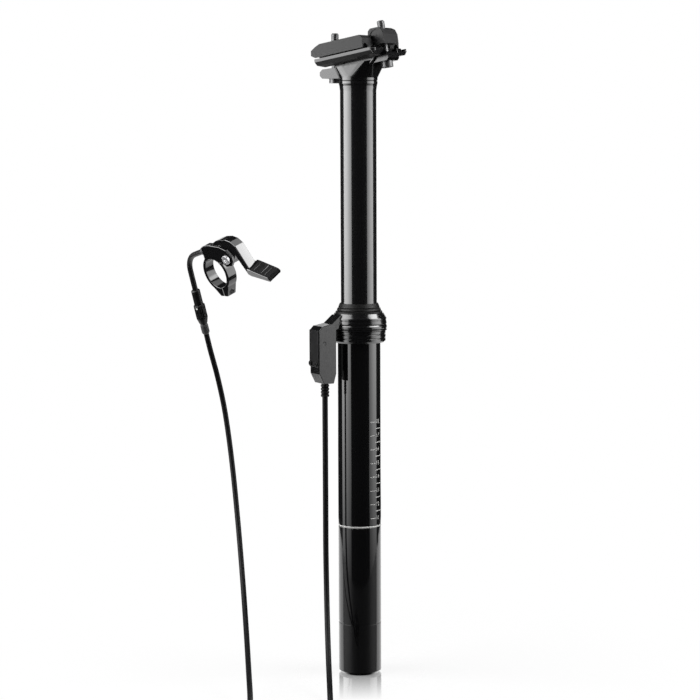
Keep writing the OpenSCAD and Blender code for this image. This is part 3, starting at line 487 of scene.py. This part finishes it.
# Foot. A turned aluminium cap in the same gloss coating, pressed into the tube's lower end;
# a plated nut inside it locks the cartridge's rod.
dress(coating, "tail_cap")
plating, nodes, links, shader = finish_of("plated_steel", (0.62, 0.62, 0.63), 0.42, 1)
uneven(nodes, links, shader, 700, (0.34, 0.52), 0.00001)
dress(plating, "rod_nut")

# Collar and actuator. A ribbed collar nut and a forged ring with its cable box, all coated
# black like the tubes but with the soft edges of a forging.
forging, nodes, links, shader = finish_of("black_forging", (0.007, 0.007, 0.0075), 0.16)
shader.inputs["IOR"].default_value = 1.9
uneven(nodes, links, shader, 420, (0.11, 0.2), 0.000012)
dress(forging, "collar_nut", "actuator_housing", "actuator_pin")
soften(0.0003, "actuator_housing", clamped=False, crease=60)
lid, nodes, links, shader = finish_of("satin_lid", (0.008, 0.008, 0.0085), 0.34)
shader.inputs["IOR"].default_value = 1.4
uneven(nodes, links, shader, 500, (0.28, 0.4), 0.00001)
dress(lid, "actuator_cover")
soften(0.0005, "actuator_cover", clamped=False, crease=60)
blackening, nodes, links, shader = finish_of("blackened_steel", (0.012, 0.012, 0.0125), 0.34)
uneven(nodes, links, shader, 800, (0.26, 0.42), 0.00001)
dress(blackening, "cover_screws")
dress(plating, "actuator_lever")
machined, nodes, links, shader = finish_of("machined_brass", (0.55, 0.4, 0.16), 0.32, 1)
uneven(nodes, links, shader, 600, (0.24, 0.42), 0.00001)
dress(machined, "release_pin")

# Wiper and boot. Moulded rubber: the wiper presses its lips on the sliding tube, and the
# ribbed boot keeps water out where the cable enters the box.
rubber, nodes, links, shader = finish_of("moulded_rubber", (0.009, 0.009, 0.009), 0.45)
shader.inputs["Specular IOR Level"].default_value = 0.3
uneven(nodes, links, shader, 1500, (0.36, 0.56), 0.00003)
dress(rubber, "wiper_seal", "cable_boot")

# Bearings and spring cartridge. Dry liners and brass keys guide the sliding tube round a
# turned alloy cylinder with its steel rod, out of sight inside the post.
liner, nodes, links, shader = finish_of("bearing_liner", (0.2, 0.19, 0.17), 0.5)
uneven(nodes, links, shader, 900, (0.42, 0.62), 0.00002)
dress(liner, "upper_bushing", "lower_bushing")
turned, nodes, links, shader = finish_of("turned_alloy", (0.68, 0.68, 0.69), 0.3, 1)
uneven(nodes, links, shader, 500, (0.24, 0.38), 0.00001)
dress(turned, "cartridge_tube", "seal_head", "piston")
dress(plating, "cartridge_rod")
dress(machined, "guide_keys")

# Sliding tube. A drawn aluminium tube, ground round and polished under a hard black coat,
# which gives it brighter and softer reflections than the outer tube has.
slider, nodes, links, shader = finish_of("slider_coating", (0.009, 0.009, 0.0095), 0.2)
shader.inputs["Specular IOR Level"].default_value = 0.2
shader.inputs["Coat Weight"].default_value = 1
shader.inputs["Coat IOR"].default_value = 1.9
shader.inputs["Coat Roughness"].default_value = 0.08
uneven(nodes, links, shader, 300, (0.14, 0.3), 0.000003)
dress(slider, "stanchion")

# Head. An aluminium forging bonded into the sliding tube's upper end. Its trough and bolt
# lugs are machined, and it is coated black like the collar.
dress(forging, "head")
soften(0.0008, "head")

# Clamp bolts. Two M5 steel bolts with rolled threads stand up through the barrel nuts;
# the front one rocks on a half round seat.
BOLT_R, THREAD_PITCH, THREAD_TALL, THREAD_SUNK, THREAD_HALF = 0.0025, 0.0008, 0.00022, -0.00003, 0.45
FRONT_THREAD_DOWN, FRONT_THREAD_LONG = 0.0072, 0.0064
REAR_THREAD_X, REAR_THREAD_Z, REAR_THREAD_LONG = 0.02, 0.0024, 0.0054
TILT = math.radians(10)
PIVOT_Z = 0.458


def thread(name, body, place, length):
    """The rolled thread on a bolt's free end, as a ridge wound up the shank."""
    steps = 24
    count = int(length / THREAD_PITCH * steps)
    ridge = ((THREAD_SUNK, -THREAD_HALF), (THREAD_TALL, 0), (THREAD_SUNK, THREAD_HALF))
    points = []
    for k in range(count + 1):
        angle = 2 * math.pi * k / steps
        climb = k * THREAD_PITCH / steps
        for reach, rise in ridge:
            points.append(place @ Vector((
                (BOLT_R + reach) * math.cos(angle),
                (BOLT_R + reach) * math.sin(angle),
                climb + rise * THREAD_PITCH,
            )))
    faces = []
    for k in range(0, 3 * count, 3):
        faces += [(k, k + 3, k + 4, k + 1), (k + 1, k + 4, k + 5, k + 2)]
    mesh = bpy.data.meshes.new(name)
    mesh.from_pydata(points, [], faces)
    mesh.shade_smooth()
    shown(name, mesh, body, dark_steel)


dark_steel, nodes, links, shader = finish_of("dark_steel", (0.17, 0.17, 0.172), 0.4, 1)
uneven(nodes, links, shader, 700, (0.32, 0.5), 0.00001)
dress(dark_steel, "front_bolt", "front_washer", "rear_bolt", "rear_washer")
soften(0.0003, "front_bolt", "rear_bolt")
clamp_place = Matrix.Translation((0, 0, PIVOT_Z)) @ Matrix.Rotation(-TILT, 4, "Y")
bolt_low, bolt_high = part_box("front_bolt")
front_x = bolt_low[0] / 2 + bolt_high[0] / 2
front_place = Matrix.Translation((front_x, 0, bolt_high[2] - FRONT_THREAD_DOWN))
rear_place = clamp_place @ Matrix.Translation((REAR_THREAD_X, 0, REAR_THREAD_Z))
thread("front_thread", "front_bolt", front_place, FRONT_THREAD_LONG)
thread("rear_thread", "upper_post", rear_place, REAR_THREAD_LONG)

# Saddle clamp. A black forged cradle, duller on its underside, rocks in the head. A blasted
# grey upper half closes on the rails, and black barrel nuts turn in it as it tilts.
UNDERSIDE_DIP = -0.05
dress(forging, "lower_cradle")
cradle_mesh = frame["nodes"]["lower_cradle"].data
cradle_mesh.materials.append(lid)
for face in cradle_mesh.polygons:
    if face.normal.z < UNDERSIDE_DIP:
        face.material_index = 1
soften(0.0004, "lower_cradle", clamped=False, crease=50)
blasted, nodes, links, shader = finish_of("blasted_grey", (0.02, 0.02, 0.0205), 0.4)
uneven(nodes, links, shader, 2600, (0.34, 0.5), 0.00002)
dress(blasted, "upper_clamp")
soften(0.0016, "upper_clamp")
dress(blackening, "front_nut", "rear_nut")

# Remote. A forged bracket and its band, polished black, close round the handlebar. The
# lacquered thumb lever has an etched paddle, turns on a bright screw and pulls the inner wire.
PADDLE_REACH, PADDLE_RISE = 0.0205, 0.3
polish, nodes, links, shader = finish_of("polished_black", (0.006, 0.006, 0.0065), 0.1)
shader.inputs["IOR"].default_value = 1.9
uneven(nodes, links, shader, 350, (0.07, 0.14), 0.000006)
dress(polish, "remote_bracket", "clamp_band")
soften(0.0004, "remote_bracket", "clamp_band", clamped=False, crease=60)
lacquer, nodes, links, shader = finish_of("lever_lacquer", (0.006, 0.006, 0.0065), 0.1)
shader.inputs["IOR"].default_value = 2.3
uneven(nodes, links, shader, 350, (0.07, 0.14), 0.000006)
dress(lacquer, "lever")
soften(0.0005, "lever", clamped=False, crease=88)
grip, nodes, links, shader = finish_of("etched_grip", (0.007, 0.007, 0.0075), 0.36)
shader.inputs["IOR"].default_value = 1.3
uneven(nodes, links, shader, 2200, (0.28, 0.46), 0.00003)
pressing = next(j for j in frame["record"]["behaviour"]["joints"] if j["name"] == "lever_press")
hinge = Vector(pressing["pos_m"])
lever_out = Vector(pressing["axis"]).cross(Vector((0, 0, 1))).normalized()
lever_mesh = frame["nodes"]["lever"].data
lever_mesh.materials.append(grip)
for face in lever_mesh.polygons:
    if lever_out.dot(face.center - hinge) > PADDLE_REACH and face.normal.z > PADDLE_RISE:
        face.material_index = 1
dress(plating, "pivot_screw", "anchor_screw")
soften(0.0003, "pivot_screw")
dress(blackening, "clamp_screw")
dress(machined, "lever_bush")

# Noodle and adjuster. A black coated steel guide tube bends down from the bracket to a
# knurled barrel that takes up slack, with a white index dot, and a grey sleeve.
tube_black, nodes, links, shader = finish_of("noodle_coating", (0.014, 0.014, 0.0145), 0.3)
uneven(nodes, links, shader, 700, (0.24, 0.38), 0.00001)
dress(tube_black, "noodle")
knurled, nodes, links, shader = finish_of("anodised_black", (0.009, 0.009, 0.0095), 0.3)
uneven(nodes, links, shader, 900, (0.24, 0.38), 0.00001)
dress(knurled, "adjuster_stem", "adjuster_barrel")
soften(0.0003, "adjuster_stem")
sleeve, nodes, links, shader = finish_of("sleeve_grey", (0.085, 0.085, 0.088), 0.42)
uneven(nodes, links, shader, 1200, (0.34, 0.5), 0.00002)
dress(sleeve, "cable_sleeve", "noodle_ferrule")
DOT_R, DOT_UP, DOT_REACH, DOT_LEFT, DOT_SIDES = 0.0008, 0.0042, 0.0043, math.radians(35), 16
turning = next(j for j in frame["record"]["behaviour"]["joints"] if j["name"] == "adjuster_turn")
barrel_turn = Vector(turning["axis"]).to_track_quat("Z", "X").to_matrix().to_4x4()
barrel = Matrix.Translation(turning["pos_m"]) @ barrel_turn
facing = barrel.inverted() @ camera.location
face_turn = math.atan2(facing.y, facing.x) - DOT_LEFT
dot_place = barrel @ Matrix.Rotation(face_turn, 4, "Z") @ Matrix.Translation((DOT_REACH, 0, DOT_UP))
dot_turns = [2 * math.pi * k / DOT_SIDES for k in range(DOT_SIDES)]
dot_edge = [Vector((0, DOT_R * math.cos(t), DOT_R * math.sin(t))) for t in dot_turns]
dot_mesh = bpy.data.meshes.new("index_dot")
dot_mesh.from_pydata([dot_place @ p for p in dot_edge], [], [range(DOT_SIDES)])
shown("index_dot", dot_mesh, "adjuster", print_white)

# The post's gloss doesn't mirror the remote, which a handlebar carries away from the post.
unmirrored = [
    "remote_bracket", "clamp_band", "clamp_screw", "pivot_screw", "lever", "lever_bush",
    "anchor_screw", "noodle", "noodle_ferrule", "adjuster_stem", "adjuster_barrel", "cable_sleeve",
]
for name in unmirrored:
    frame["nodes"][name].visible_glossy = False

# Coil tie. A moulded strap of black nylon, closed round the turns of the cable's coil so
# that they lie together on the table.
strap, nodes, links, shader = finish_of("strap_nylon", (0.015, 0.015, 0.015), 0.45)
uneven(nodes, links, shader, 1400, (0.38, 0.54), 0.00002)
dress(strap, "coil_tie")
soften(0.0003, "coil_tie")

bpy.context.view_layer.update()
low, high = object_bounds()
